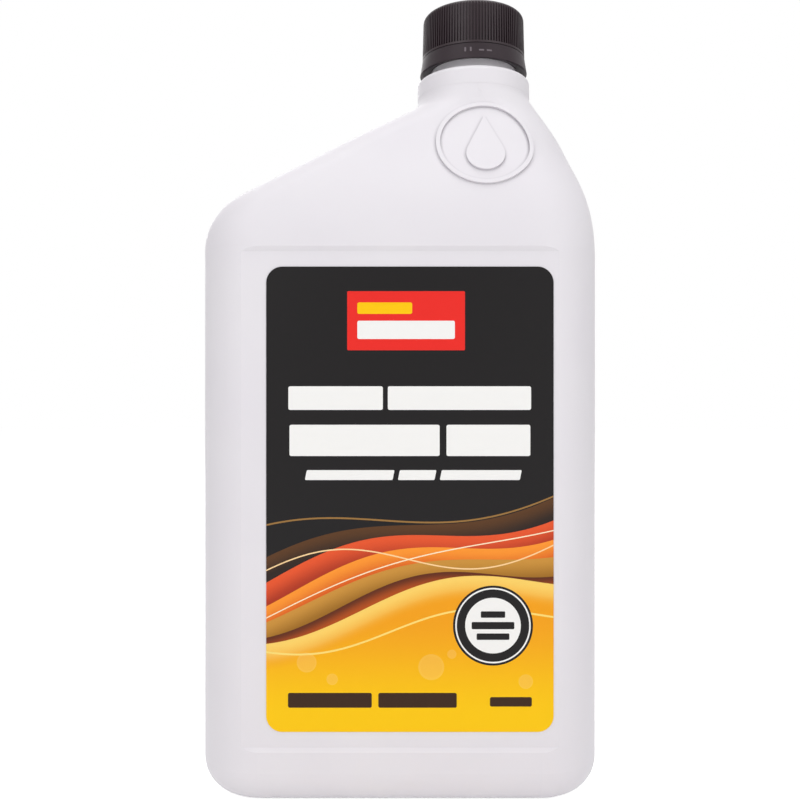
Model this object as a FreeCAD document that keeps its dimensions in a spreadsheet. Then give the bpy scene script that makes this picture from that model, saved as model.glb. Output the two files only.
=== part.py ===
"""Motor oil bottle of one US quart (946 ml): a white blow-moulded bottle with its neck to one side,
a ribbed screw cap with a tamper band, a foil seal on the mouth, a label on each face, and the oil.

Frame: millimetres, +Z up, the base stands on z = 0 with its centre at the origin, the front label
faces -Y and the neck stands towards +X.
"""

import FreeCAD, Part
import math
import os

import Sketcher

Vector = FreeCAD.Vector
Constraint = Sketcher.Constraint

# Driving dimensions in millimetres and degrees. Heights are above the standing surface.
SIZES = {
    # body
    "body_width": 108.6,
    "body_depth": 59,
    "corner_radius": 17,
    "base_radius": 9.5,
    "wall": 1.0,
    # shoulder: each side turns in by an arc, goes on at its slope from the vertical, and turns
    # upright again by a smaller arc at the neck's stem
    "shoulder_start": 148,
    "left_radius": 18,
    "left_slope": 60.7,
    "left_root": 4,
    "right_delay": 3,
    "right_radius": 62,
    "right_slope": 36,
    "right_root": 4,
    "face_radius": 52,
    "face_slope": 23,
    "face_root": 8,
    "shoulder_top": 195.3,
    "ridge_sharpening": 0.1,
    "right_softening": 0.2,
    "neck_blend": 13,
    # base: a shallow hollow inside the standing rim
    "pushup_depth": 1.6,
    "pushup_margin": 15,
    "pushup_corner": 9,
    # label panels, one sunk into each face
    "panel_depth": 0.6,
    "panel_bottom": 16.3,
    "panel_top": 146.7,
    "panel_ramp": 1.2,
    # neck and its finish
    "neck_offset": 21.55,
    "stem_step": 0.08,
    "collar_radius": 16.3,
    "collar_top": 200.5,
    "collar_round": 1.5,
    "collar_wall": 1.6,
    "bore_start": 6,
    "bore_cone_below": 1.5,
    "bore_cone_above": 1,
    "neck_radius": 12.2,
    "bore_radius": 10.8,
    "lip_top": 216.95,
    "lip_round": 0.4,
    "bead_bottom": 204.2,
    "bead_reach": 1.2,
    "bead_land": 0.5,
    # screw thread, of 6 turns to the inch
    "thread_pitch": 4.233,
    "thread_turns": 1.5,
    "thread_reach": 1.1,
    "thread_root": 1.9,
    "thread_crest": 0.9,
    "thread_below_lip": 2.4,
    "thread_clearance": 0.25,
    "thread_bite": 0.3,
    # moulded emblem on the front shoulder
    "emblem_height": 177,
    "emblem_shift": 1.45,
    "emblem_radius": 13.3,
    "emblem_line": 1.1,
    "emblem_relief": 0.55,
    "drop_radius": 5.2,
    "drop_length": 12.5,
    "drop_low": 3.75,
    # labels
    "label_width": 75.4,
    "label_height": 122.1,
    "label_bottom": 20.4,
    "label_corner": 4.2,
    "label_shift": 2.6,
    "label_thickness": 0.15,
    # contents
    "fill_level": 172.1,
    "oil_gap": 0.2,
    # closure
    "foil_thickness": 0.15,
    "liner_thickness": 1.0,
    "liner_gap": 0.25,
    "cap_radius": 14.6,
    "cap_flare": 0.3,
    "cap_height": 12.4,
    "cap_top_thickness": 1.4,
    "cap_edge_radius": 1.8,
    "cap_foot": 0.6,
    "rib_count": 110,
    "rib_depth": 0.25,
    "rib_width": 0.4,
    "slit": 0.2,
    "band_height": 4.3,
    "band_flare": 0.7,
    "band_wall": 0.8,
    "band_clearance": 0.25,
    "band_catch_height": 0.8,
    "bridge_count": 12,
    "bridge_width": 0.6,
    "bridge_gap": 0.05,
}

# Where the shoulder's sections stand, as shares of its height: close together at both ends, so
# that it leaves the straight walls without a crease and follows the small arcs at the neck.
SECTION_SHARES = (
    0.0, 0.01, 0.02, 0.04, 0.06, 0.09, 0.12, 0.16, 0.21, 0.28, 0.36, 0.44, 0.52, 0.6,
    0.68, 0.75, 0.81, 0.86, 0.89, 0.92, 0.94, 0.96, 1.0,
)

# How much of the room for a section's corners they may take, so that short straight sides stay
CORNER_ROOM = 0.995

# How far a cutting outline reaches past the surface that it cuts, in millimetres
OVERSHOOT = 1

doc = FreeCAD.newDocument("MotorOilBottle")
sheet = doc.addObject("Spreadsheet::Sheet", "Sizes")
probe = doc.addObject("Part::Vertex", "probe")


def fill_sheet():
    """Writes each driving dimension into the sheet and gives its cell an alias."""
    for row, (name, value) in enumerate(SIZES.items(), start=1):
        sheet.set(f"A{row}", name)
        sheet.set(f"B{row}", str(value))
        sheet.setAlias(f"B{row}", name)
    doc.recompute()


def of(name):
    """The expression that reads one driving dimension."""
    return f"Sizes.{name}"


def number(expression):
    """The value of an expression, in millimetres."""
    probe.setExpression("X", str(expression))
    probe.recompute()
    if not probe.isValid():
        raise RuntimeError(f"no value for {expression}")
    return float(probe.X)


# Heights and radii that follow from the driving dimensions
LINER_UNDERSIDE = f"({of('lip_top')} + {of('foil_thickness')})"
CAP_CEILING = f"({LINER_UNDERSIDE} + {of('liner_thickness')})"
CAP_TOP = f"({CAP_CEILING} + {of('cap_top_thickness')})"
CAP_BOTTOM = f"({CAP_TOP} - {of('cap_height')})"
THREAD_RADIUS = f"({of('neck_radius')} + {of('thread_reach')})"
CAP_BORE = f"({THREAD_RADIUS} + {of('thread_clearance')})"
BEAD_RADIUS = f"({of('neck_radius')} + {of('bead_reach')})"
BAND_TOP = f"({CAP_BOTTOM} - {of('slit')})"
BAND_BOTTOM = f"({BAND_TOP} - {of('band_height')})"
BAND_RADIUS = f"({of('cap_radius')} + {of('cap_flare')})"
PANEL_FLOOR = f"({of('body_depth')} / 2 - {of('panel_depth')})"
THREAD_HEIGHT = f"({of('thread_pitch')} * {of('thread_turns')})"
THREAD_START = f"({of('lip_top')} - {of('thread_below_lip')} - {THREAD_HEIGHT})"


def new_body(name):
    """An empty body whose label names its file."""
    body = doc.addObject("PartDesign::Body", name)
    body.Label = name
    return body


def new_sketch(body, name, role, height="0", across="0"):
    """A sketch on one of the body's own planes, moved along its normal and along its first axis."""
    sketch = body.newObject("Sketcher::SketchObject", name)
    plane = next(f for f in body.Origin.OriginFeatures if f.Role == role)
    sketch.AttachmentSupport = (plane, [""])
    sketch.MapMode = "FlatFace"
    sketch.setExpression("AttachmentOffset.Base.z", str(height))
    sketch.setExpression("AttachmentOffset.Base.x", str(across))
    return sketch


def bind(sketch, name, kind, geometry, expression):
    """A named dimension of the sketch, bound to an expression."""
    index = sketch.addConstraint(Constraint(kind, *geometry, number(expression)))
    sketch.renameConstraint(index, name)
    sketch.setExpression(f"Constraints.{name}", str(expression))


def line(start, end):
    """A straight sketch edge between two points of the sketch's plane."""
    return Part.LineSegment(Vector(*start, 0), Vector(*end, 0))


def arc(centre, radius, start, end):
    """A circular sketch edge, with its angles in degrees."""
    circle = Part.Circle(Vector(*centre, 0), Vector(0, 0, 1), radius)
    return Part.ArcOfCircle(circle, math.radians(start), math.radians(end))


def rounded_rectangle(sketch, left, right, bottom, top, left_corner, right_corner):
    """Four sides and four tangent corners. Each side's place and each corner radius is bound."""
    x0, x1, y0, y1 = (number(e) for e in (left, right, bottom, top))
    r0, r1 = number(left_corner), number(right_corner)
    sketch.addGeometry(
        [
            line((x0 + r0, y0), (x1 - r1, y0)),
            arc((x1 - r1, y0 + r1), r1, -90, 0),
            line((x1, y0 + r1), (x1, y1 - r1)),
            arc((x1 - r1, y1 - r1), r1, 0, 90),
            line((x1 - r1, y1), (x0 + r0, y1)),
            arc((x0 + r0, y1 - r0), r0, 90, 180),
            line((x0, y1 - r0), (x0, y0 + r0)),
            arc((x0 + r0, y0 + r0), r0, 180, 270),
        ],
        False,
    )
    for edge in range(8):
        sketch.addConstraint(Constraint("Tangent", edge, 2, (edge + 1) % 8, 1))
    for edge, kind in ((0, "Horizontal"), (2, "Vertical"), (4, "Horizontal"), (6, "Vertical")):
        sketch.addConstraint(Constraint(kind, edge))
    sketch.addConstraint(Constraint("Equal", 1, 3))
    sketch.addConstraint(Constraint("Equal", 5, 7))
    bind(sketch, "right", "DistanceX", (-1, 1, 2, 1), right)
    bind(sketch, "left", "DistanceX", (-1, 1, 6, 1), left)
    bind(sketch, "bottom", "DistanceY", (-1, 1, 0, 1), bottom)
    bind(sketch, "top", "DistanceY", (-1, 1, 4, 1), top)
    bind(sketch, "right_corner", "Radius", (1,), right_corner)
    bind(sketch, "left_corner", "Radius", (5,), left_corner)


def closed_outline(sketch, points):
    """A closed outline of straight edges through points given as pairs of expressions."""
    places = [(number(x), number(y)) for x, y in points]
    first = sketch.GeometryCount
    for k, place in enumerate(places):
        sketch.addGeometry(line(place, places[(k + 1) % len(places)]), False)
    for k, (x, y) in enumerate(points):
        edge = first + k
        following = first + (k + 1) % len(points)
        sketch.addConstraint(Constraint("Coincident", edge, 2, following, 1))
        if str(x) == "0":
            sketch.addConstraint(Constraint("PointOnObject", edge, 1, -2))
        else:
            bind(sketch, f"x{edge}", "DistanceX", (-1, 1, edge, 1), x)
        if str(y) == "0":
            sketch.addConstraint(Constraint("PointOnObject", edge, 1, -1))
        else:
            bind(sketch, f"y{edge}", "DistanceY", (-1, 1, edge, 1), y)


def pad(body, name, sketch, length, midplane=False):
    """A pad of a sketch, with its length bound."""
    feature = body.newObject("PartDesign::Pad", name)
    feature.Profile = sketch
    feature.setExpression("Length", str(length))
    feature.Midplane = midplane
    doc.recompute()
    body.Tip = feature
    return feature


def pocket(body, name, sketch, length, midplane=False, reversed_way=False):
    """A pocket of a sketch, with its length bound. It has to remove material."""
    before = body.Tip.Shape.Volume
    feature = body.newObject("PartDesign::Pocket", name)
    feature.Profile = sketch
    feature.setExpression("Length", str(length))
    feature.Midplane = midplane
    feature.Reversed = reversed_way
    doc.recompute()
    body.Tip = feature
    if feature.Shape.Volume >= before:
        raise RuntimeError(f"{name} removed nothing")
    return feature


def revolve(body, name, sketch):
    """A full turn of a sketch about its own vertical axis."""
    feature = body.newObject("PartDesign::Revolution", name)
    feature.Profile = sketch
    feature.ReferenceAxis = (sketch, ["V_Axis"])
    feature.Angle = 360
    doc.recompute()
    body.Tip = feature
    return feature


def fillet(body, name, radius, chosen):
    """Rounds the edges of the body's tip that the test chosen picks out."""
    base = body.Tip
    edges = [f"Edge{k}" for k, edge in enumerate(base.Shape.Edges, start=1) if chosen(edge)]
    if not edges:
        raise RuntimeError(f"{name} found no edge")
    feature = body.newObject("PartDesign::Fillet", name)
    feature.Base = (base, edges)
    feature.setExpression("Radius", str(radius))
    doc.recompute()
    body.Tip = feature
    return feature


def ring_edge(radius, height):
    """A test for the round edges about the body's axis at one radius and height."""
    wanted, level = number(radius), number(height)

    def test(edge):
        curve = edge.Curve
        if curve.TypeId != "Part::GeomCircle":
            return False
        return abs(curve.Radius - wanted) < 0.01 and abs(curve.Center.z - level) < 0.01

    return test


def helix(body, name, sketch, pitch, turns):
    """A screw thread: the sketch's outline swept round its own vertical axis."""
    feature = body.newObject("PartDesign::AdditiveHelix", name)
    feature.Profile = sketch
    feature.ReferenceAxis = (sketch, ["V_Axis"])
    feature.Mode = "pitch-turns-angle"
    feature.setExpression("Pitch", str(pitch))
    feature.setExpression("Turns", str(turns))
    feature.LeftHanded = False
    feature.Reversed = False
    doc.recompute()
    body.Tip = feature
    return feature


def travel(rise, radius, slope, root, whole):
    """How far a side of the shoulder has come in at a rise above its start.

    It turns in by an arc, goes on along a slope and turns upright again by a root arc, when it
    has come in by the whole distance to the neck's stem.
    """
    turned = f"min({rise}; {radius} * sin({slope}))"
    first = f"({radius} - sqrt({radius} * {radius} - {turned} * {turned}))"
    straight = f"max(0; ({whole} - ({radius} + {root}) * (1 - cos({slope}))) / tan({slope}))"
    past_arc = f"max(0; {rise} - {radius} * sin({slope}))"
    along = f"min({past_arc}; {straight})"
    left_over = f"({root} * sin({slope}) - min(max(0; {past_arc} - {straight}); {root} * sin({slope})))"
    last = f"(sqrt({root} * {root} - {left_over} * {left_over}) - {root} * cos({slope}))"
    return f"({first} + {along} * tan({slope}) + {last})"


def section_sides(height, skin):
    """Left, right, half depth and the two corner radii of the blown form at a height.

    The skin is how far the form lies inside the outer surface. A form inside it is taken
    from as much higher up, which keeps the wall on the slopes. The corners widen towards the
    neck's stem, where the section is all but round.
    """
    level = f"({height} + {skin})"
    half_width = f"({of('body_width')} / 2)"
    half_depth = f"({of('body_depth')} / 2)"
    stem = f"({of('collar_radius')} - {of('stem_step')})"
    sides = {}
    rise = f"max(0; {level} - {of('shoulder_start')})"
    late_rise = f"max(0; {rise} - {of('right_delay')})"
    for name, climbed, whole in (
        ("left", rise, f"({half_width} + {of('neck_offset')} - {stem})"),
        ("right", late_rise, f"({half_width} - {of('neck_offset')} - {stem})"),
        ("face", rise, f"({half_depth} - {stem})"),
    ):
        shape = (of(f"{name}_radius"), of(f"{name}_slope"), of(f"{name}_root"))
        sides[name] = travel(climbed, *shape, whole)
    left = f"({sides['left']} + {skin} - {half_width})"
    right = f"({half_width} - {skin} - {sides['right']})"
    half = f"({half_depth} - {skin} - {sides['face']})"

    room = f"({CORNER_ROOM} * min({half}; ({right} - {left}) / 2))"
    blend_start = f"({of('shoulder_top')} - {of('neck_blend')})"
    blend = f"min(1; max(0; ({level} - {blend_start}) / {of('neck_blend')}))"
    corner = f"({of('corner_radius')} - {skin})"
    ridge = f"({corner} - {of('ridge_sharpening')} * {rise})"
    end = f"({corner} + {of('right_softening')} * {rise})"
    left_corner = f"min({ridge} + ({room} - {ridge}) * {blend}; {room})"
    right_corner = f"min({end} + ({room} - {end}) * {blend}; {room})"
    return left, right, half, left_corner, right_corner


def straight_walls(body, skin, bottom):
    """The body below the shoulder: upright walls with rounded corners and a rounded base."""
    sketch = new_sketch(body, f"{body.Name}_plan", "XY_Plane", bottom)
    left, right, half, left_corner, right_corner = section_sides(bottom, skin)
    rounded_rectangle(sketch, left, right, f"-{half}", half, left_corner, right_corner)
    pad(body, f"{body.Name}_walls", sketch, f"{of('shoulder_start')} - {skin} - {bottom}")
    level = number(bottom)
    fillet(
        body,
        f"{body.Name}_base_round",
        f"{of('base_radius')} - {skin}",
        lambda edge: abs(edge.BoundBox.ZMin - level) < 0.01 and abs(edge.BoundBox.ZMax - level) < 0.01,
    )


def shoulder(body, skin, top):
    """The shoulder as one loft through rounded sections, from the straight walls to its top."""
    start = f"({of('shoulder_start')} - {skin})"
    sketches = []
    for k, share in enumerate(SECTION_SHARES):
        height = f"({start} + ({top} - {start}) * {share})"
        sketch = new_sketch(body, f"{body.Name}_section_{k}", "XY_Plane", height)
        left, right, half, left_corner, right_corner = section_sides(height, skin)
        rounded_rectangle(sketch, left, right, f"-{half}", half, left_corner, right_corner)
        sketches.append(sketch)
    doc.recompute()
    loft = body.newObject("PartDesign::AdditiveLoft", f"{body.Name}_shoulder")
    loft.Profile = sketches[0]
    loft.Sections = sketches[1:]
    doc.recompute()
    body.Tip = loft


def sink_panels(body, skin):
    """Sinks a flat label panel into each face, with a ramp at its top and bottom."""
    sketch = new_sketch(body, f"{body.Name}_panels", "YZ_Plane")
    floor = f"({PANEL_FLOOR} - {skin})"
    outside = f"({floor} + 2 * {of('panel_depth')})"
    ramp = f"2 * {of('panel_ramp')}"
    low, high = of("panel_bottom"), f"{of('panel_top')} - {skin}"
    for side in ("", "-"):
        closed_outline(
            sketch,
            [
                (f"{side}{floor}", low),
                (f"{side}{floor}", high),
                (f"{side}{outside}", f"{high} + {ramp}"),
                (f"{side}{outside}", f"{low} - {ramp}"),
            ],
        )
    pocket(body, f"{body.Name}_panel_recess", sketch, f"2 * {of('body_width')}", midplane=True)


def hollow_base(body, skin, bottom):
    """The shallow hollow under the base, inside the standing rim."""
    sketch = new_sketch(body, f"{body.Name}_pushup", "XY_Plane", bottom)
    half_width = f"({of('body_width')} / 2 - {of('pushup_margin')} + {skin})"
    half_depth = f"({of('body_depth')} / 2 - {of('pushup_margin')} + {skin})"
    corner = f"{of('pushup_corner')} + {skin}"
    rounded_rectangle(sketch, f"-{half_width}", half_width, f"-{half_depth}", half_depth, corner, corner)
    pocket(body, f"{body.Name}_base_hollow", sketch, of("pushup_depth"), reversed_way=True)


def blown_form(name, skin, bottom, top):
    """One complete form of the blown body, at a skin's depth inside the outer surface."""
    body = new_body(name)
    straight_walls(body, skin, bottom)
    sink_panels(body, skin)
    hollow_base(body, skin, bottom)
    shoulder(body, skin, top)
    return body


def neck_outside(body):
    """Collar, neck, locking bead and lip, turned about the neck's axis."""
    sketch = new_sketch(body, "neck_outline", "XZ_Plane", across=of("neck_offset"))
    foot = of("shoulder_top")
    land_top = f"{of('bead_bottom')} + {of('bead_land')}"
    closed_outline(
        sketch,
        [
            ("0", foot),
            (of("collar_radius"), foot),
            (of("collar_radius"), of("collar_top")),
            (of("neck_radius"), of("collar_top")),
            (of("neck_radius"), of("bead_bottom")),
            (BEAD_RADIUS, of("bead_bottom")),
            (BEAD_RADIUS, land_top),
            (of("neck_radius"), f"{land_top} + {of('bead_reach')}"),
            (of("neck_radius"), of("lip_top")),
            ("0", of("lip_top")),
        ],
    )
    revolve(body, "neck", sketch)
    fillet(body, "collar_edge", of("collar_round"), ring_edge(of("collar_radius"), of("collar_top")))
    fillet(body, "lip_edge", of("lip_round"), ring_edge(of("neck_radius"), of("lip_top")))


def thread_outline(sketch, root, crest, height):
    """A thread's section: wide at its root and narrow at its crest, with its middle at a height."""
    wide, narrow = f"{of('thread_root')} / 2", f"{of('thread_crest')} / 2"
    closed_outline(
        sketch,
        [
            (root, f"{height} - {wide}"),
            (crest, f"{height} - {narrow}"),
            (crest, f"{height} + {narrow}"),
            (root, f"{height} + {wide}"),
        ],
    )


def build_bottle():
    """The blown bottle: outer form, neck, thread and emblem, less the space inside."""
    outer = blown_form("bottle_outside", "0", "0", of("shoulder_top"))
    neck_outside(outer)
    sketch = new_sketch(outer, "neck_thread_section", "XZ_Plane", across=of("neck_offset"))
    root = f"{of('neck_radius')} - {of('thread_bite')}"
    thread_outline(sketch, root, THREAD_RADIUS, THREAD_START)
    helix(outer, "neck_thread", sketch, of("thread_pitch"), of("thread_turns"))

    inside = blown_form("bottle_inside", of("wall"), of("wall"), f"({of('shoulder_top')} - {of('wall')})")
    sketch = new_sketch(inside, "bore_outline", "XZ_Plane", across=of("neck_offset"))
    hollow = f"{of('collar_radius')} - {of('collar_wall')}"
    low = f"{of('shoulder_top')} - {of('bore_start')}"
    closed_outline(
        sketch,
        [
            ("0", low),
            (hollow, low),
            (hollow, f"{of('collar_top')} - {of('collar_wall')} - {of('bore_cone_below')}"),
            (of("bore_radius"), f"{of('collar_top')} - {of('collar_wall')} + {of('bore_cone_above')}"),
            (of("bore_radius"), f"{of('lip_top')} + {OVERSHOOT}"),
            ("0", f"{of('lip_top')} + {OVERSHOOT}"),
        ],
    )
    revolve(inside, "bore", sketch)

    fused = doc.addObject("Part::Fuse", "bottle_with_emblem")
    fused.Base = outer
    fused.Tool = build_emblem()
    bottle = doc.addObject("Part::Cut", "bottle")
    bottle.Base = fused
    bottle.Tool = inside
    doc.recompute()
    return bottle


def build_emblem():
    """A raised ring round a plain drop, following the curve of the front shoulder."""
    skin = f"(-{of('emblem_relief')})"
    over = new_body("emblem_skin")
    shoulder(over, skin, of("shoulder_top"))

    stamp = new_body("emblem_stamp")
    face_depth = section_sides(of("emblem_height"), "0")[2]
    middle = f"{of('neck_offset')} + {of('emblem_shift')}"
    sketch = new_sketch(stamp, "emblem_outline", "XZ_Plane", height=face_depth, across=middle)
    sketch.setExpression("AttachmentOffset.Base.y", of("emblem_height"))
    sketch.setExpression("AttachmentOffset.Rotation.Axis.x", "1")
    sketch.setExpression("AttachmentOffset.Rotation.Axis.z", "0")
    sketch.setExpression("AttachmentOffset.Rotation.Angle", f"-{of('face_slope')}")
    rim = of("emblem_radius")
    for name, size in (("outer", rim), ("inner", f"{rim} - {of('emblem_line')}")):
        edge = sketch.addGeometry(Part.Circle(Vector(0, 0, 0), Vector(0, 0, 1), number(size)), False)
        sketch.addConstraint(Constraint("Coincident", edge, 3, -1, 1))
        bind(sketch, name, "Radius", (edge,), size)
    drop_outline(sketch)
    pad(stamp, "emblem_stamp_pad", sketch, f"{of('body_depth')} / 2", midplane=True)
    common = doc.addObject("Part::Common", "emblem")
    common.Base = over
    common.Tool = stamp
    return common


def drop_outline(sketch):
    """A drop: a round belly and two straight sides that touch it and meet in a point."""
    belly, length = number(of("drop_radius")), number(of("drop_length"))
    lean = math.degrees(math.asin(belly / length))
    low = -number(of("drop_low"))
    start = 180 - lean
    touch_left = (belly * math.cos(math.radians(start)), low + belly * math.sin(math.radians(start)))
    touch_right = (-touch_left[0], touch_left[1])
    tip = (0, low + length)
    curve = sketch.addGeometry(arc((0, low), belly, start, 360 + lean), False)
    left = sketch.addGeometry(line(tip, touch_left), False)
    right = sketch.addGeometry(line(touch_right, tip), False)
    sketch.addConstraint(Constraint("Tangent", left, 2, curve, 1))
    sketch.addConstraint(Constraint("Tangent", curve, 2, right, 1))
    sketch.addConstraint(Constraint("Coincident", right, 2, left, 1))
    sketch.addConstraint(Constraint("PointOnObject", left, 1, -2))
    sketch.addConstraint(Constraint("PointOnObject", curve, 3, -2))
    bind(sketch, "belly", "Radius", (curve,), of("drop_radius"))
    bind(sketch, "low", "DistanceY", (curve, 3, -1, 1), of("drop_low"))
    bind(sketch, "tip", "DistanceY", (-1, 1, left, 1), f"{of('drop_length')} - {of('drop_low')}")


def build_oil():
    """The oil, up to its fill level, a hair inside the bottle's wall."""
    skin = f"({of('wall')} + {of('oil_gap')})"
    return blown_form("oil_fill", skin, skin, of("fill_level"))


def build_label(name, side, shift):
    """A film label on the panel of one face: a thin rounded rectangle."""
    body = new_body(name)
    outward = "" if side < 0 else "-"
    sketch = new_sketch(body, f"{name}_outline", "XZ_Plane", height=f"{outward}{PANEL_FLOOR}")
    half = f"{of('label_width')} / 2"
    low, high = of("label_bottom"), f"{of('label_bottom')} + {of('label_height')}"
    rounded_rectangle(
        sketch, f"{shift} - {half}", f"{shift} + {half}", low, high, of("label_corner"), of("label_corner")
    )
    film = pad(body, f"{name}_film", sketch, of("label_thickness"))
    film.Reversed = side > 0
    doc.recompute()
    return body


def build_foil():
    """The foil seal bonded to the lip."""
    foil = doc.addObject("Part::Cylinder", "foil_seal")
    foil.setExpression("Radius", of("neck_radius"))
    foil.setExpression("Height", of("foil_thickness"))
    foil.setExpression("Placement.Base.x", of("neck_offset"))
    foil.setExpression("Placement.Base.z", of("lip_top"))
    return foil


def build_liner():
    """The loose liner disc under the cap's ceiling."""
    liner = doc.addObject("Part::Cylinder", "cap_liner")
    liner.setExpression("Radius", f"{CAP_BORE} - {of('liner_gap')}")
    liner.setExpression("Height", of("liner_thickness"))
    liner.setExpression("Placement.Base.x", of("neck_offset"))
    liner.setExpression("Placement.Base.z", LINER_UNDERSIDE)
    return liner


def build_cap():
    """The screw cap: a ribbed cup with a thread inside. Its own origin is on its axis."""
    body = new_body("screw_cap")
    sketch = new_sketch(body, "cap_outline", "XZ_Plane")
    foot = f"{CAP_BOTTOM} + {of('cap_foot')}"
    closed_outline(
        sketch,
        [
            ("0", CAP_CEILING),
            (CAP_BORE, CAP_CEILING),
            (CAP_BORE, CAP_BOTTOM),
            (BAND_RADIUS, CAP_BOTTOM),
            (BAND_RADIUS, foot),
            (of("cap_radius"), CAP_TOP),
            ("0", CAP_TOP),
        ],
    )
    revolve(body, "cap_shell", sketch)
    fillet(body, "cap_edge", of("cap_edge_radius"), ring_edge(of("cap_radius"), CAP_TOP))

    # The cap's thread starts on the far side, so that it lies half a pitch from the neck's.
    sketch = new_sketch(body, "cap_thread_section", "XZ_Plane")
    thread_outline(
        sketch,
        f"-({CAP_BORE} + {of('thread_bite')})",
        f"-({of('neck_radius')} + {of('thread_clearance')})",
        THREAD_START,
    )
    helix(body, "cap_thread", sketch, of("thread_pitch"), of("thread_turns"))

    sketch = new_sketch(body, "rib_groove", "XY_Plane", foot)
    reach, depth, half = of("cap_radius"), of("rib_depth"), f"{of('rib_width')} / 2"
    closed_outline(
        sketch,
        [
            (f"{reach} + {OVERSHOOT}", f"-2 * {half}"),
            (f"{reach} + {OVERSHOOT}", f"2 * {half}"),
            (f"{reach} - {depth}", half),
            (f"{reach} - {depth}", f"-{half}"),
        ],
    )
    groove = pocket(body, "rib_groove_cut", sketch, of("cap_height"), reversed_way=True)
    ribs = body.newObject("PartDesign::PolarPattern", "ribs")
    ribs.Originals = [groove]
    ribs.Axis = (sketch, ["N_Axis"])
    ribs.Angle = 360
    ribs.setExpression("Occurrences", of("rib_count"))
    body.Tip = ribs
    body.setExpression("Placement.Base.x", of("neck_offset"))
    doc.recompute()
    return body


def build_band():
    """The tamper band under the cap: it stays on the neck, held under the locking bead."""
    body = new_body("tamper_band")
    sketch = new_sketch(body, "band_outline", "XZ_Plane")
    inner = f"({BEAD_RADIUS} + {of('band_clearance')})"
    flared = f"({BAND_RADIUS} + {of('band_flare')})"
    catch_top = f"{BAND_BOTTOM} + {of('band_catch_height')}"
    closed_outline(
        sketch,
        [
            (inner, BAND_TOP),
            (inner, catch_top),
            (f"{of('neck_radius')} + {of('band_clearance')}", catch_top),
            (f"{flared} - {of('band_wall')}", BAND_BOTTOM),
            (flared, BAND_BOTTOM),
            (BAND_RADIUS, BAND_TOP),
        ],
    )
    revolve(body, "band_ring", sketch)

    # Stubs of the bridges that tear when the cap is first opened
    sketch = new_sketch(body, "bridge_plan", "XY_Plane", f"{BAND_TOP} - {of('slit')}")
    half = f"{of('bridge_width')} / 2"
    near, far = f"{BAND_RADIUS} - {of('band_wall')}", f"{BAND_RADIUS} - {of('slit')}"
    closed_outline(sketch, [(near, f"-{half}"), (far, f"-{half}"), (far, half), (near, half)])
    bridge = pad(body, "bridge", sketch, f"2 * {of('slit')} - {of('bridge_gap')}")
    bridges = body.newObject("PartDesign::PolarPattern", "bridges")
    bridges.Originals = [bridge]
    bridges.Axis = (sketch, ["N_Axis"])
    bridges.Angle = 360
    bridges.setExpression("Occurrences", of("bridge_count"))
    body.Tip = bridges
    body.setExpression("Placement.Base.x", of("neck_offset"))
    doc.recompute()
    return body


def check(parts):
    """Stops if an object failed or a sub-part is empty, not valid or has no volume."""
    for item in doc.Objects:
        bad = {"Invalid", "Error"} & set(item.State)
        if bad:
            raise RuntimeError(f"{item.Name} is {item.State}")
    for item in parts:
        shape = item.Shape
        if shape.isNull() or not shape.isValid() or shape.Volume <= 0:
            raise RuntimeError(f"{item.Label} has no sound shape")


def main():
    fill_sheet()
    parts = [
        build_bottle(),
        build_oil(),
        build_foil(),
        build_liner(),
        build_cap(),
        build_band(),
        build_label("front_label", -1, of("label_shift")),
        build_label("back_label", 1, "0"),
    ]
    doc.recompute()
    check(parts)
    os.makedirs("parts", exist_ok=True)
    for item in parts:
        item.Shape.exportStep(f"parts/{item.Label}.step")
        box = item.Shape.BoundBox
        print(
            f"{item.Label}: {len(item.Shape.Solids)} solid, {item.Shape.Volume / 1000:.2f} ml, "
            f"x {box.XMin:.2f} to {box.XMax:.2f}, y {box.YMin:.2f} to {box.YMax:.2f}, "
            f"z {box.ZMin:.2f} to {box.ZMax:.2f}"
        )


main()
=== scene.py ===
# %% [markdown]
# # A quart bottle of motor oil
#
# This lesson dresses a finished CAD model of a motor oil bottle: a flat white bottle with its
# neck to one side, a ribbed black screw cap, a tamper band and a printed film label on each face.
# The solids already have their real shape and size, so most of the work is in the finishes. Every
# object is in metres, the bottle stands on z = 0, and the front label faces -Y.

import math

import bmesh
import bpy
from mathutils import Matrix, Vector


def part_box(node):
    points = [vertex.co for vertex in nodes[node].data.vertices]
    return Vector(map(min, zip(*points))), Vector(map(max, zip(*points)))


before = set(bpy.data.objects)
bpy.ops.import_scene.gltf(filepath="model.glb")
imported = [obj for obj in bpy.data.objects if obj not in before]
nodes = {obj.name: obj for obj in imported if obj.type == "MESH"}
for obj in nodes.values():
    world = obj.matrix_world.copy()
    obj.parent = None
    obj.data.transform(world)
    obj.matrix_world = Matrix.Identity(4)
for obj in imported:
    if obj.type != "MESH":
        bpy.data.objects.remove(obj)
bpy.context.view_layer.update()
print("nodes:", sorted(nodes))

# %% [markdown]
# ## Camera
#
# A camera has to stand where the photographer's stood, because a near camera makes the cap look
# taken from below and hides the narrow sides. Here the camera is level with the middle of the
# bottle and close to it, about a quarter of a metre away. It looks straight along +Y, so the
# picture shows no leaning lines.

# %% Camera
CAMERA_DISTANCE = 0.268
CAMERA_HEIGHT = 0.1075
LENS_MM = 40.98
SENSOR_MM = 36

lens = bpy.data.cameras.new("camera")
lens.lens = LENS_MM
lens.sensor_width = SENSOR_MM
lens.clip_start = 0.01
camera = bpy.data.objects.new("camera", lens)
camera.location = (0, -CAMERA_DISTANCE, CAMERA_HEIGHT)
camera.rotation_euler = (math.radians(90), 0, 0)
bpy.context.scene.collection.objects.link(camera)
bpy.context.scene.camera = camera
print("camera at", tuple(camera.location))

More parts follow.
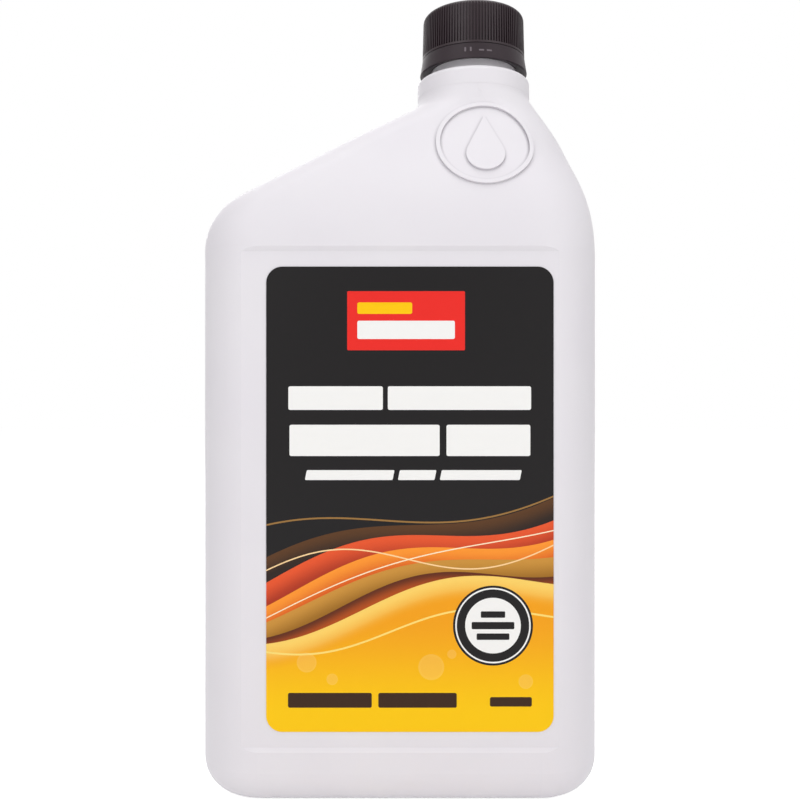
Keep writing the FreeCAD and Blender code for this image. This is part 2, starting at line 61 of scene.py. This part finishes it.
# %% [markdown]
# ## Helpers for materials
#
# A material is a small network of nodes. Placing each node by hand takes the same few steps every
# time: make it, set its options, and give each input a value or a link. One function does that and
# hands back the output that the next node needs. Colours are written as they look on a screen, as
# hex values, and the renderer needs them linear, so another function turns them.


# %% Colour and node helpers
def colour(hex_value):
    """A screen colour such as "#E2E0E3" as linear red, green, blue and alpha."""
    channels = [int(hex_value[k : k + 2], 16) / 255 for k in (1, 3, 5)]
    linear = [c / 12.92 if c <= 0.04045 else ((c + 0.055) / 1.055) ** 2.4 for c in channels]
    return (*linear, 1)


def add(tree, kind, inputs=None, output=0, **settings):
    """Adds a node with its settings, fills or links its inputs, and returns one of its outputs.

    A colour mix has several inputs of one name, so its factor is input 0 and its colours 6 and 7.
    """
    node = tree.nodes.new(kind)
    for name, value in settings.items():
        setattr(node, name, value)
    for socket, value in (inputs or {}).items():
        if isinstance(value, bpy.types.NodeSocket):
            tree.links.new(value, node.inputs[socket])
        else:
            node.inputs[socket].default_value = value
    return node.outputs[output] if node.outputs else None


def new_material(name):
    """An empty material and its node tree."""
    material = bpy.data.materials.new(name)
    material.use_nodes = True
    material.node_tree.nodes.clear()
    return material, material.node_tree


def dress(node_name, material):
    """Gives a CAD node's object one material."""
    slots = nodes[node_name].material_slots
    if not slots:
        nodes[node_name].data.materials.append(material)
    for material_slot in nodes[node_name].material_slots:
        material_slot.material = material


# %% [markdown]
# ## Helpers for shapes on a surface
#
# Small moulded marks and print are flat shapes on a surface. They could be thin meshes, but ink has
# no thickness and a moulded mark has next to none. Here each shape is a mask that is worked out
# from the place on the object in millimetres. It then sets a colour or a bump. Looking straight
# along Y, a mask in X and Z lands on the front and on the back alike, so a second one, for the
# side, is multiplied in where that matters.


# %% Masks
MM = 0.001


def place_in_mm(tree):
    """The place on the object in millimetres, with the depth taken out."""
    place = add(tree, "ShaderNodeTexCoord", output="Object")
    return add(tree, "ShaderNodeMapping", {"Vector": place, "Scale": (1 / MM, 0, 1 / MM)})


def split(tree, place):
    """The X, Y and Z of a place."""
    node = tree.nodes.new("ShaderNodeSeparateXYZ")
    tree.links.new(place, node.inputs[0])
    return node.outputs["X"], node.outputs["Y"], node.outputs["Z"]


def rounded_box(tree, place, centre, size, corner):
    """A mask that is 1 inside a rounded box, given by its centre, size and corner radius."""
    core = (size[0] / 2 - corner, 0, size[1] / 2 - corner)
    from_centre = add(
        tree, "ShaderNodeVectorMath", {0: place, 1: (centre[0], 0, centre[1])}, operation="SUBTRACT"
    )
    folded = add(tree, "ShaderNodeVectorMath", {0: from_centre}, operation="ABSOLUTE")
    past_core = add(tree, "ShaderNodeVectorMath", {0: folded, 1: core}, operation="SUBTRACT")
    outside = add(
        tree, "ShaderNodeVectorMath", {0: past_core, 1: (0, 0, 0)}, operation="MAXIMUM"
    )
    distance = add(
        tree, "ShaderNodeVectorMath", {0: outside}, output="Value", operation="LENGTH"
    )
    return add(tree, "ShaderNodeMath", {0: distance, 1: corner}, operation="LESS_THAN")


# %% [markdown]
# ## The bottle: blow-moulded polyethylene
#
# The bottle is high-density polyethylene, filled with white pigment and blown in a sand-blasted
# steel mould. To the eye that gives a soft satin white: highlights are broad, the thin wall lets a
# little light wander inside, and the mould leaves a fine grain with slow waves under it, where the
# wall cooled unevenly. A flat white would look like paper. Subsurface scattering gives the soft
# depth, and two sizes of noise, one of tens of millimetres and one well under a millimetre, make
# the waves and the grain as bump. The two halves of the mould meet where Y is 0, and leave a fine
# raised line up both narrow sides, over the shoulder and across the base. The creases beside the
# raised emblem and the label panels get painted shade: the colour turns a little grey where
# ambient occlusion finds them closed in.

# %% Finish of the bottle
HDPE_WHITE = "#EBE8EC"
HDPE_SHADE = "#E6E2E8"
HDPE_ROUGHNESS = 0.5
HDPE_SHINE = 0.2  # the grain takes most of the mirror-like shine, and 0.5 would be smooth plastic
SCATTER_DEPTH = 1.2 * MM
WAVE_WIDTH = 28 * MM
WAVE_DEPTH = 0.6 * MM
GRAIN_WIDTH = 0.9 * MM  # real mould grain is nearer 0.1 mm, too fine to show here
GRAIN_DEPTH = 0.05 * MM
PARTING_HALF_WIDTH = 0.3  # in millimetres, because the ridge is worked out in them
PARTING_HEIGHT = 0.12 * MM
# Painted shade in creases: the white is mixed towards this grey where ambient occlusion finds it
# closed in.
CREASE_SHADE_GREY = "#8E8A90"
CREASE_WIDTH = 1.0 * MM
CREASE_TOP = 194.5 * MM  # no painted crease shade above this height, at the collar's smooth foot
CREASE_STARTS = 0.95  # the openness below which the painted crease shade begins
CREASE_FULL = 0.55  # the openness at which the painted shade is darkest
DEEPEST_CREASE_SHADE = 0.35


def white_hdpe():
    """Satin white polyethylene with mould grain, slow waves, painted crease shade and a faint
    parting line.
    """
    material, tree = new_material("blow-moulded white HDPE")
    place = add(tree, "ShaderNodeTexCoord", output="Object")
    waves = add(tree, "ShaderNodeTexNoise", {"Vector": place, "Scale": 1 / WAVE_WIDTH, "Detail": 1})
    grain = add(tree, "ShaderNodeTexNoise", {"Vector": place, "Scale": 1 / GRAIN_WIDTH, "Detail": 2})
    tint = add(
        tree,
        "ShaderNodeMix",
        {0: waves, 6: colour(HDPE_WHITE), 7: colour(HDPE_SHADE)},
        output=2,
        data_type="RGBA",
    )
    wave_bump = add(
        tree, "ShaderNodeBump", {"Height": waves, "Strength": 0.25, "Distance": WAVE_DEPTH}
    )
    grain_bump = add(
        tree,
        "ShaderNodeBump",
        {"Height": grain, "Strength": 0.12, "Distance": GRAIN_DEPTH, "Normal": wave_bump},
    )
    in_mm = add(tree, "ShaderNodeVectorMath", {0: place, 1: (0, 1 / MM, 0)}, operation="MULTIPLY")
    from_parting = add(
        tree, "ShaderNodeVectorMath", {0: in_mm}, output="Value", operation="LENGTH"
    )
    ridge = add(
        tree,
        "ShaderNodeMapRange",
        {"Value": from_parting, "From Max": PARTING_HALF_WIDTH, "To Min": 1.0, "To Max": 0.0},
        interpolation_type="SMOOTHSTEP",
    )
    parting_bump = add(
        tree,
        "ShaderNodeBump",
        {"Height": ridge, "Strength": 0.8, "Distance": PARTING_HEIGHT, "Normal": grain_bump},
    )
    # Painted shade: below the collar, the colour turns grey by how closed in ambient occlusion finds
    # each place.
    openness = add(
        tree, "ShaderNodeAmbientOcclusion", {"Distance": CREASE_WIDTH}, output="AO", samples=8
    )
    crease_darkening = add(
        tree,
        "ShaderNodeMapRange",
        {
            "Value": openness,
            "From Min": CREASE_FULL,
            "From Max": CREASE_STARTS,
            "To Min": DEEPEST_CREASE_SHADE,
            "To Max": 0.0,
        },
    )
    up = split(tree, place)[2]
    below_collar = add(tree, "ShaderNodeMath", {0: up, 1: CREASE_TOP}, operation="LESS_THAN")
    painted_crease_shade = add(tree, "ShaderNodeMath", {0: crease_darkening, 1: below_collar}, operation="MULTIPLY")
    shaded = add(
        tree,
        "ShaderNodeMix",
        {0: painted_crease_shade, 6: tint, 7: colour(CREASE_SHADE_GREY)},
        output=2,
        data_type="RGBA",
    )
    surface = add(
        tree,
        "ShaderNodeBsdfPrincipled",
        {
            "Base Color": shaded,
            "Roughness": HDPE_ROUGHNESS,
            "IOR": 1.54,
            "Specular IOR Level": HDPE_SHINE,
            "Subsurface Weight": 0.15,
            "Subsurface Radius": (1.0, 0.95, 1.0),
            "Subsurface Scale": SCATTER_DEPTH,
            "Normal": parting_bump,
        },
    )
    add(tree, "ShaderNodeOutputMaterial", {"Surface": surface})
    return material


dress("bottle", white_hdpe())

# %% [markdown]
# ## Cap and tamper band: moulded polypropylene
#
# Both are injection-moulded polypropylene, coloured through with carbon black. The photograph shows
# a warm near-black with soft highlights on the ribs. A thin haze from handling makes it a little
# uneven, so a fine noise moves the roughness, not the colour.

# %% Marks on the cap and the band
cap_low, cap_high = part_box("screw_cap")
band_low, band_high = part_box("tamper_band")
CAP_AXIS = (cap_low[0] + cap_high[0]) / 2 / MM
CAP_TOP = cap_high[2] / MM
BAND_MIDDLE = (band_low[2] + band_high[2]) / 2 / MM
TOP_FACE = (CAP_TOP - 0.1) * MM  # everything above this height is the cap's flat top
GATE_RADIUS = 0.9
RING_RADIUS = 10.8
RING_HALF_WIDTH = 0.25
DASH_CORNER = 0.2

# Middle across from the axis, middle up from the band's middle, width and height
BAND_DASHES = (
    (-3.4, 0.2, 0.5, 1.3),
    (-1.9, 0.2, 0.5, 1.3),
    (1.1, -0.1, 1.5, 0.5),
    (3.3, -0.1, 1.5, 0.5),
)


def cap_marks(tree):
    """On the cap's top: the pip where the plastic was let in, and one fine ring."""
    place = add(tree, "ShaderNodeTexCoord", output="Object")
    from_axis = add(
        tree,
        "ShaderNodeMapping",
        {"Vector": place, "Location": (-CAP_AXIS, 0, 0), "Scale": (1 / MM, 1 / MM, 0)},
    )
    out = add(tree, "ShaderNodeVectorMath", {0: from_axis}, output="Value", operation="LENGTH")
    off_ring = add(tree, "ShaderNodeMath", {0: out, 1: RING_RADIUS}, operation="SUBTRACT")
    away = add(tree, "ShaderNodeMath", {0: off_ring}, operation="ABSOLUTE")
    ring = add(tree, "ShaderNodeMath", {0: away, 1: RING_HALF_WIDTH}, operation="LESS_THAN")
    gate = add(tree, "ShaderNodeMath", {0: out, 1: GATE_RADIUS}, operation="LESS_THAN")
    both = add(tree, "ShaderNodeMath", {0: ring, 1: gate}, operation="ADD")
    up = split(tree, place)[2]
    on_top = add(tree, "ShaderNodeMath", {0: up, 1: TOP_FACE}, operation="GREATER_THAN")
    return add(tree, "ShaderNodeMath", {0: both, 1: on_top}, operation="MULTIPLY")


def band_marks(tree):
    """Two pairs of plain raised dashes on the front of the band, such as a mould leaves."""
    place = place_in_mm(tree)
    height = 0.0
    for across, up, width, tall in BAND_DASHES:
        middle = (CAP_AXIS + across, BAND_MIDDLE + up)
        dash = rounded_box(tree, place, middle, (width, tall), DASH_CORNER)
        height = add(tree, "ShaderNodeMath", {0: dash, 1: height}, operation="ADD")
    depth = split(tree, add(tree, "ShaderNodeTexCoord", output="Object"))[1]
    in_front = add(tree, "ShaderNodeMath", {0: depth, 1: 0.0}, operation="LESS_THAN")
    return add(tree, "ShaderNodeMath", {0: height, 1: in_front}, operation="MULTIPLY")


# %% Finish of the cap and the band
CAP_BLACK = "#2F2429"
CAP_ROUGHNESS = 0.38
BAND_BLACK = "#281D23"
BAND_ROUGHNESS = 0.42
RUBBED_AND_LIT_GREY = "#6B6268"  # raised marks are paler: rubbed wear plus a painted highlight
BLACK_SHINE = 0.25  # half that of polished plastic, because the mould isn't polished
HAZE_WIDTH = 3 * MM
HAZE_DEPTH = 0.04 * MM
HAZE_SMOOTHER = 0.06
HAZE_ROUGHER = 0.1
MARK_HEIGHT = 0.25 * MM


def black_polypropylene(name, hex_value, roughness, marks):
    """Satin near-black moulded plastic with a slightly uneven haze and small raised marks, paler as
    wear and painted highlight.
    """
    material, tree = new_material(name)
    place = add(tree, "ShaderNodeTexCoord", output="Object")
    haze = add(tree, "ShaderNodeTexNoise", {"Vector": place, "Scale": 1 / HAZE_WIDTH, "Detail": 3})
    uneven = add(
        tree,
        "ShaderNodeMapRange",
        {"Value": haze, "To Min": roughness - HAZE_SMOOTHER, "To Max": roughness + HAZE_ROUGHER},
    )
    bump = add(tree, "ShaderNodeBump", {"Height": haze, "Strength": 0.1, "Distance": HAZE_DEPTH})
    height = marks(tree)
    marked = add(
        tree, "ShaderNodeBump", {"Height": height, "Distance": MARK_HEIGHT, "Normal": bump}
    )
    # Wear and painted highlight: the raised marks are mixed towards a paler grey, as if rubbed and
    # catching the light.
    rubbed_and_lit = add(
        tree,
        "ShaderNodeMix",
        {0: height, 6: colour(hex_value), 7: colour(RUBBED_AND_LIT_GREY)},
        output=2,
        data_type="RGBA",
    )
    surface = add(
        tree,
        "ShaderNodeBsdfPrincipled",
        {
            "Base Color": rubbed_and_lit,
            "Roughness": uneven,
            "IOR": 1.49,
            "Specular IOR Level": BLACK_SHINE,
            "Normal": marked,
        },
    )
    add(tree, "ShaderNodeOutputMaterial", {"Surface": surface})
    return material


dress(
    "screw_cap",
    black_polypropylene("moulded black polypropylene", CAP_BLACK, CAP_ROUGHNESS, cap_marks),
)
dress(
    "tamper_band",
    black_polypropylene("moulded black polypropylene band", BAND_BLACK, BAND_ROUGHNESS, band_marks),
)
print("cap axis at x =", round(CAP_AXIS, 2), "mm, top at z =", round(CAP_TOP, 2), "mm")

# %% [markdown]
# ## Foil seal, liner and oil
#
# These are hidden until the bottle is opened, but they are real pieces. The seal is aluminium foil,
# the liner a white foamed disc, and the oil a clear amber liquid. The oil only shows where the
# white wall is cut away, so its glass-like shader costs nothing here.

# %% Finishes inside
FOIL_GREY = "#D9DADC"
FOIL_CREASES = 4 * MM
LINER_WHITE = "#E9E8E2"
LINER_CELLS = 0.5 * MM
OIL_AMBER = "#D9962B"
OIL_DEEP = "#C98420"
OIL_STREAKS = 30 * MM


def seal_foil():
    """Rolled aluminium foil, slightly crumpled."""
    material, tree = new_material("rolled aluminium foil")
    place = add(tree, "ShaderNodeTexCoord", output="Object")
    creases = add(
        tree, "ShaderNodeTexNoise", {"Vector": place, "Scale": 1 / FOIL_CREASES, "Detail": 4}
    )
    bump = add(tree, "ShaderNodeBump", {"Height": creases, "Strength": 0.3, "Distance": 0.1 * MM})
    surface = add(
        tree,
        "ShaderNodeBsdfPrincipled",
        {"Base Color": colour(FOIL_GREY), "Metallic": 1.0, "Roughness": 0.25, "Normal": bump},
    )
    add(tree, "ShaderNodeOutputMaterial", {"Surface": surface})
    return material


def liner_foam():
    """White foamed polyethylene with fine cells."""
    material, tree = new_material("foamed polyethylene liner")
    place = add(tree, "ShaderNodeTexCoord", output="Object")
    cells = add(tree, "ShaderNodeTexVoronoi", {"Vector": place, "Scale": 1 / LINER_CELLS})
    bump = add(tree, "ShaderNodeBump", {"Height": cells, "Strength": 0.3, "Distance": 0.05 * MM})
    surface = add(
        tree,
        "ShaderNodeBsdfPrincipled",
        {"Base Color": colour(LINER_WHITE), "Roughness": 0.8, "Normal": bump},
    )
    add(tree, "ShaderNodeOutputMaterial", {"Surface": surface})
    return material


def motor_oil():
    """Clear amber oil."""
    material, tree = new_material("amber mineral oil")
    place = add(tree, "ShaderNodeTexCoord", output="Object")
    streaks = add(tree, "ShaderNodeTexNoise", {"Vector": place, "Scale": 1 / OIL_STREAKS})
    tint = add(
        tree,
        "ShaderNodeMix",
        {0: streaks, 6: colour(OIL_AMBER), 7: colour(OIL_DEEP)},
        output=2,
        data_type="RGBA",
    )
    surface = add(
        tree,
        "ShaderNodeBsdfPrincipled",
        {"Base Color": tint, "Roughness": 0.03, "IOR": 1.48, "Transmission Weight": 0.85},
    )
    add(tree, "ShaderNodeOutputMaterial", {"Surface": surface})
    return material


dress("foil_seal", seal_foil())
dress("cap_liner", liner_foam())
dress("oil_fill", motor_oil())

# %% [markdown]
# ## Label print
#
# The label is white film, printed in solid colours and laminated, so it is flat, sharp-edged and
# slightly glossy. Its shapes are the masks from above: a rounded box, a disc, which is a box that
# is all corner, or everything below a curve. Each mask lays one ink over the inks below it, in the
# order in which a press prints them.
#
# The real print carries words and marks that belong to a maker. This one keeps the fields of
# colour and their sizes, with plain blocks where words would be and its own pattern of waves.


# %% Helpers for print
def lay_ink(tree, below, ink, mask):
    """Lays an ink over what is printed so far, where the mask is 1."""
    return add(
        tree, "ShaderNodeMix", {0: mask, 6: below, 7: ink}, output=2, data_type="RGBA"
    )


def lay_block(tree, below, place, centre, size, corner, ink):
    """Lays a rounded block of ink, given by its centre, size and corner radius."""
    return lay_ink(tree, below, colour(ink), rounded_box(tree, place, centre, size, corner))


def wave_height(tree, across, base, slope, swell, length, phase):
    """The height of a wave at a place across the label, in millimetres."""
    turned = add(
        tree,
        "ShaderNodeMath",
        {0: across, 1: 2 * math.pi / length, 2: phase},
        operation="MULTIPLY_ADD",
    )
    sine = add(tree, "ShaderNodeMath", {0: turned}, operation="SINE")
    line = add(tree, "ShaderNodeMath", {0: across, 1: slope, 2: base}, operation="MULTIPLY_ADD")
    return add(tree, "ShaderNodeMath", {0: sine, 1: swell, 2: line}, operation="MULTIPLY_ADD")


# %% [markdown]
# ## Waves of colour
#
# The lower half of the label goes from charcoal to golden yellow through ribbons of red, orange and
# ochre that sweep up to the right. Each ribbon fills the room below its own curved edge, is bright
# along that edge and deepens below it, which makes flat ink look like a fold of silk. The ribbons
# are listed from the top one down, and each covers the lower part of the one before. Hair-thin
# light lines then cross them, and a few pale bubbles stand in the gold.

# %% Waves and bubbles
CHARCOAL = "#1B191A"
GOLD_DEEP = "#F7A41B"
GOLD_LIGHT = "#FFCB0F"

# Height at the middle, rise per millimetre, swell, wave length, phase, edge ink, deep ink, depth
RIBBONS = (
    (73.5, 0.30, 4.6, 104, 2.9, "#5B3B22", "#2A201C", 5.5),
    (69.0, 0.27, 4.4, 92, 2.4, "#EA5A31", "#A83420", 7.0),
    (64.5, 0.26, 4.2, 88, 2.0, "#FF9A34", "#D9541F", 6.5),
    (60.0, 0.24, 3.8, 96, 1.6, "#CE943F", "#9C6A22", 6.0),
    (56.5, 0.21, 4.0, 80, 1.2, "#5E2C18", "#B4501C", 3.6),
    (54.0, 0.17, 4.6, 90, 0.7, "#FFD66B", GOLD_DEEP, 7.0),
)

# Thin light lines that cross the ribbons: the same curve, then ink and half width
HAIRLINES = (
    (77.0, 0.22, 5.4, 118, 3.4, "#9C7440", 0.22),
    (65.5, 0.13, 5.0, 84, 3.0, "#FFD9A0", 0.18),
    (62.0, 0.34, 3.2, 120, 1.9, "#FFF0CC", 0.15),
    (47.0, 0.12, 3.4, 76, 0.2, "#FFE17A", 0.25),
)

# Middle across, middle up and radius of each bubble
BUBBLES = (
    (-24.5, 38.6, 2.6),
    (-17.8, 34.2, 1.5),
    (8.2, 37.4, 3.4),
    (13.6, 40.8, 1.2),
    (33.0, 33.6, 1.9),
)
BUBBLE_INK = "#FFE08A"
RIM_COVER = 0.22
INNER_SHARE = 0.84
INNER_COVER = 0.14


def ribbon(tree, below, across, height, shape):
    """Lays one ribbon of graded ink below its curved edge."""
    *curve, edge_ink, deep_ink, depth = shape
    edge = wave_height(tree, across, *curve)
    under = add(tree, "ShaderNodeMath", {0: edge, 1: height}, operation="SUBTRACT")
    mask = add(tree, "ShaderNodeMath", {0: under, 1: 0.0}, operation="GREATER_THAN")
    grade = add(
        tree,
        "ShaderNodeMapRange",
        {"Value": under, "From Max": depth},
        interpolation_type="SMOOTHSTEP",
    )
    ink = lay_ink(tree, colour(edge_ink), colour(deep_ink), grade)
    return lay_ink(tree, below, ink, mask)


def hairline(tree, below, across, height, shape):
    """Lays one thin line along a wave."""
    *curve, ink, half_width = shape
    centre = wave_height(tree, across, *curve)
    away = add(tree, "ShaderNodeMath", {0: centre, 1: height}, operation="SUBTRACT")
    distance = add(tree, "ShaderNodeMath", {0: away}, operation="ABSOLUTE")
    mask = add(tree, "ShaderNodeMath", {0: distance, 1: half_width}, operation="LESS_THAN")
    return lay_ink(tree, below, colour(ink), mask)


def bubble(tree, below, place, shape):
    """Lays one pale bubble: a faint disc, with some gold laid back inside its rim."""
    middle, up, radius = shape
    discs = ((radius, RIM_COVER, BUBBLE_INK), (radius * INNER_SHARE, INNER_COVER, GOLD_DEEP))
    for size, cover, ink in discs:
        disc = rounded_box(tree, place, (middle, up), (2 * size, 2 * size), size)
        faint = add(tree, "ShaderNodeMath", {0: disc, 1: cover}, operation="MULTIPLY")
        below = lay_ink(tree, below, colour(ink), faint)
    return below


# %% Front label
LABEL_RED = "#EE302A"
LABEL_WHITE = "#F7F6F4"
DARK_BROWN = "#3A2415"
GOLD_START = 52.0
GOLD_END = 24.0

RED_FIELD = ((1.6, 128.3), (30.9, 15.5))
SHARP_CORNER = 0.3
BLOCK_CORNER = 0.5

# Blocks where words would stand: middle across, middle up, width, height, ink
FRONT_BLOCKS = (
    (-4.0, 131.6, 14.4, 3.0, GOLD_LIGHT),
    (1.6, 125.9, 25.6, 4.8, LABEL_WHITE),
    (-16.9, 108.0, 24.8, 6.2, LABEL_WHITE),
    (15.6, 108.0, 37.6, 6.2, LABEL_WHITE),
    (-9.3, 96.9, 39.4, 8.2, LABEL_WHITE),
    (23.2, 96.9, 22.0, 8.2, LABEL_WHITE),
    (-18.4, 28.7, 22.0, 3.9, DARK_BROWN),
    (4.6, 28.7, 20.6, 3.9, DARK_BROWN),
    (29.1, 28.3, 11.0, 2.5, DARK_BROWN),
)
SLANTED_BLOCKS = ((-13.2, 87.8, 23.0, 2.6), (4.5, 87.8, 9.6, 2.6), (21.2, 87.8, 21.0, 2.6))
SLANT = 0.2
BADGE_CENTRE = (24.4, 48.3)
BADGE_RINGS = ((10.5, CHARCOAL), (9.9, LABEL_WHITE), (9.5, CHARCOAL), (7.3, LABEL_WHITE))
BADGE_BLOCKS = ((24.4, 51.2, 6.4, 1.7), (24.4, 48.3, 11.2, 1.9), (24.4, 45.4, 8.6, 1.7))
FILM_ROUGHNESS = 0.34
FILM_SHINE = 0.15  # a matt laminate: 0.5 is the sheen of bare film
RIPPLE_WIDTH = 18 * MM
RIPPLE_DEPTH = 0.4 * MM


def laminate(tree, print_colour):
    """The clear laminate over the print: an even gloss with the film's faint ripple."""
    place = add(tree, "ShaderNodeTexCoord", output="Object")
    ripple = add(
        tree, "ShaderNodeTexNoise", {"Vector": place, "Scale": 1 / RIPPLE_WIDTH, "Detail": 1}
    )
    bump = add(
        tree, "ShaderNodeBump", {"Height": ripple, "Strength": 0.08, "Distance": RIPPLE_DEPTH}
    )
    surface = add(
        tree,
        "ShaderNodeBsdfPrincipled",
        {
            "Base Color": print_colour,
            "Roughness": FILM_ROUGHNESS,
            "IOR": 1.5,
            "Specular IOR Level": FILM_SHINE,
            "Normal": bump,
        },
    )
    add(tree, "ShaderNodeOutputMaterial", {"Surface": surface})


def front_print():
    """The front label: charcoal above, waves, gold below, with plain blocks and a badge."""
    material, tree = new_material("printed polypropylene label film")
    place = place_in_mm(tree)
    across, _, height = split(tree, place)

    gold = add(
        tree,
        "ShaderNodeMapRange",
        {"Value": height, "From Min": GOLD_START, "From Max": GOLD_END},
        interpolation_type="SMOOTHSTEP",
    )
    ground = lay_ink(tree, colour(GOLD_DEEP), colour(GOLD_LIGHT), gold)
    inks = colour(CHARCOAL)
    for shape in RIBBONS:
        inks = ribbon(tree, inks, across, height, shape)
    *lowest_curve, _, _, depth = RIBBONS[-1]
    lowest = wave_height(tree, across, *lowest_curve)
    under = add(tree, "ShaderNodeMath", {0: lowest, 1: height}, operation="SUBTRACT")
    blend = add(
        tree, "ShaderNodeMapRange", {"Value": under, "From Min": depth / 2, "From Max": depth}
    )
    inks = lay_ink(tree, inks, ground, blend)
    for shape in HAIRLINES:
        inks = hairline(tree, inks, across, height, shape)
    for shape in BUBBLES:
        inks = bubble(tree, inks, place, shape)

    inks = lay_block(tree, inks, place, *RED_FIELD, SHARP_CORNER, LABEL_RED)
    for middle, up, width, tall, ink in FRONT_BLOCKS:
        inks = lay_block(tree, inks, place, (middle, up), (width, tall), BLOCK_CORNER, ink)
    lean = add(tree, "ShaderNodeMath", {0: height, 1: -SLANT, 2: across}, operation="MULTIPLY_ADD")
    leaning = add(tree, "ShaderNodeCombineXYZ", {"X": lean, "Z": height})
    for middle, up, width, tall in SLANTED_BLOCKS:
        centre = (middle - SLANT * up, up)
        inks = lay_block(tree, inks, leaning, centre, (width, tall), SHARP_CORNER, LABEL_WHITE)
    for radius, ink in BADGE_RINGS:
        inks = lay_block(tree, inks, place, BADGE_CENTRE, (2 * radius, 2 * radius), radius, ink)
    for middle, up, width, tall in BADGE_BLOCKS:
        inks = lay_block(tree, inks, place, (middle, up), (width, tall), SHARP_CORNER, CHARCOAL)
    laminate(tree, inks)
    return material


dress("front_label", front_print())

# %% [markdown]
# ## Back label
#
# No picture shows the back, so its label is a plain design in the same inks: a charcoal head, a
# pale field with lines where the directions would be printed, and a gold foot.

# %% Back label
BACK_FIELD = "#F1EFE9"
HEAD_BOTTOM = 120.0
FOOT_TOP = 36.0
HEAD_BLOCK = ((0, 131), (46, 6))
FOOT_BLOCK = ((0, 28), (40, 3.2))
LINE_GREY = "#4A4749"
BACK_LINES = 17
FIRST_LINE = 112.0
LINE_PITCH = 4.2
LINE_LENGTH = 64
LINE_THICKNESS = 1.3
PARAGRAPH = 5  # the last line of each paragraph is shorter
SHORTER_BY = 14


def back_print():
    """The back label: three fields of colour and rows of plain lines."""
    material, tree = new_material("printed polypropylene back label film")
    place = place_in_mm(tree)
    height = split(tree, place)[2]
    head = add(tree, "ShaderNodeMath", {0: height, 1: HEAD_BOTTOM}, operation="GREATER_THAN")
    foot = add(tree, "ShaderNodeMath", {0: height, 1: FOOT_TOP}, operation="LESS_THAN")
    inks = lay_ink(tree, colour(BACK_FIELD), colour(CHARCOAL), head)
    inks = lay_ink(tree, inks, colour(GOLD_LIGHT), foot)
    inks = lay_block(tree, inks, place, *HEAD_BLOCK, BLOCK_CORNER, LABEL_WHITE)
    for k in range(BACK_LINES):
        shorter = SHORTER_BY if k % PARAGRAPH == PARAGRAPH - 1 else 0
        centre = (shorter / 2, FIRST_LINE - k * LINE_PITCH)
        size = (LINE_LENGTH - shorter, LINE_THICKNESS)
        inks = lay_block(tree, inks, place, centre, size, SHARP_CORNER, LINE_GREY)
    inks = lay_block(tree, inks, place, *FOOT_BLOCK, BLOCK_CORNER, DARK_BROWN)
    laminate(tree, inks)
    return material


dress("back_label", back_print())

# %% [markdown]
# ## Floor and light
#
# A product shot like this is lit by large soft lamps against white paper. Two wide lamps stand in
# front, the left one stronger, so that the face is even and the rounded sides fall off a little. A
# third hangs above and brightens the sloping shoulder more than the upright walls, and one behind
# keeps the back from going grey. They stay low enough that the pale bottle never burns out.
# The floor is white paper. For the camera and in reflections it also glows a little, so that it
# reads as the white background, while the shadow under the bottle stays.

# %% Floor
FLOOR_HALF_WIDTH = 3.0
FLOOR_GLOW = 0.75
PAPER_WHITE = "#F4F4F4"


def background_rays(tree):
    """1 for the rays that should meet the white background: the camera's, mirrored and bent ones."""
    seen = add(tree, "ShaderNodeLightPath", output="Is Camera Ray")
    for kind in ("Is Glossy Ray", "Is Transmission Ray"):
        ray = add(tree, "ShaderNodeLightPath", output=kind)
        seen = add(tree, "ShaderNodeMath", {0: seen, 1: ray}, operation="MAXIMUM")
    return seen


def white_paper():
    """White paper that the camera sees a little brighter than its light alone would make it."""
    material, tree = new_material("white background paper")
    strength = add(
        tree, "ShaderNodeMath", {0: background_rays(tree), 1: FLOOR_GLOW}, operation="MULTIPLY"
    )
    glow = add(tree, "ShaderNodeEmission", {"Color": (1, 1, 1, 1), "Strength": strength})
    paper = add(tree, "ShaderNodeBsdfDiffuse", {"Color": colour(PAPER_WHITE)})
    both = add(tree, "ShaderNodeAddShader", {0: paper, 1: glow})
    add(tree, "ShaderNodeOutputMaterial", {"Surface": both})
    return material


floor_shape = bmesh.new()
bmesh.ops.create_grid(floor_shape, x_segments=1, y_segments=1, size=FLOOR_HALF_WIDTH)
floor_mesh = bpy.data.meshes.new("floor")
floor_shape.to_mesh(floor_mesh)
floor_shape.free()
floor = bpy.data.objects.new("floor", floor_mesh)
floor.data.materials.append(white_paper())
bpy.context.scene.collection.objects.link(floor)

# %% Light
# Where each lamp stands, where it points, its width in metres and its power in watts
LAMPS = {
    "left": ((-0.62, -0.92, 0.60), (0, 0, 0.10), 0.8, 4.7),
    "right": ((0.68, -0.82, 0.45), (0, 0, 0.10), 0.8, 3.5),
    "top": ((0.05, -0.10, 1.10), (0, 0, 0.12), 0.9, 4.6),
    "back": ((-0.20, 0.95, 0.60), (0, 0, 0.12), 0.8, 3.0),
}

for name, (stand, aim, width, power) in LAMPS.items():
    lamp = bpy.data.lights.new(name, "AREA")
    lamp.shape = "SQUARE"
    lamp.size = width
    lamp.energy = power
    holder = bpy.data.objects.new(name, lamp)
    holder.location = stand
    holder.rotation_euler = (Vector(aim) - Vector(stand)).to_track_quat("-Z", "Y").to_euler()
    bpy.context.scene.collection.objects.link(holder)

SKY_LIGHT = 0.27  # what the white room gives to the object; seen directly or mirrored it is 1
world = bpy.data.worlds.new("studio")
world.use_nodes = True
sky = world.node_tree
sky.nodes.clear()
level = add(
    sky, "ShaderNodeMapRange", {"Value": background_rays(sky), "To Min": SKY_LIGHT, "To Max": 1.0}
)
glow = add(sky, "ShaderNodeBackground", {"Color": (1, 1, 1, 1), "Strength": level})
add(sky, "ShaderNodeOutputWorld", {"Surface": glow})
bpy.context.scene.world = world
bpy.context.scene.view_settings.view_transform = "Standard"
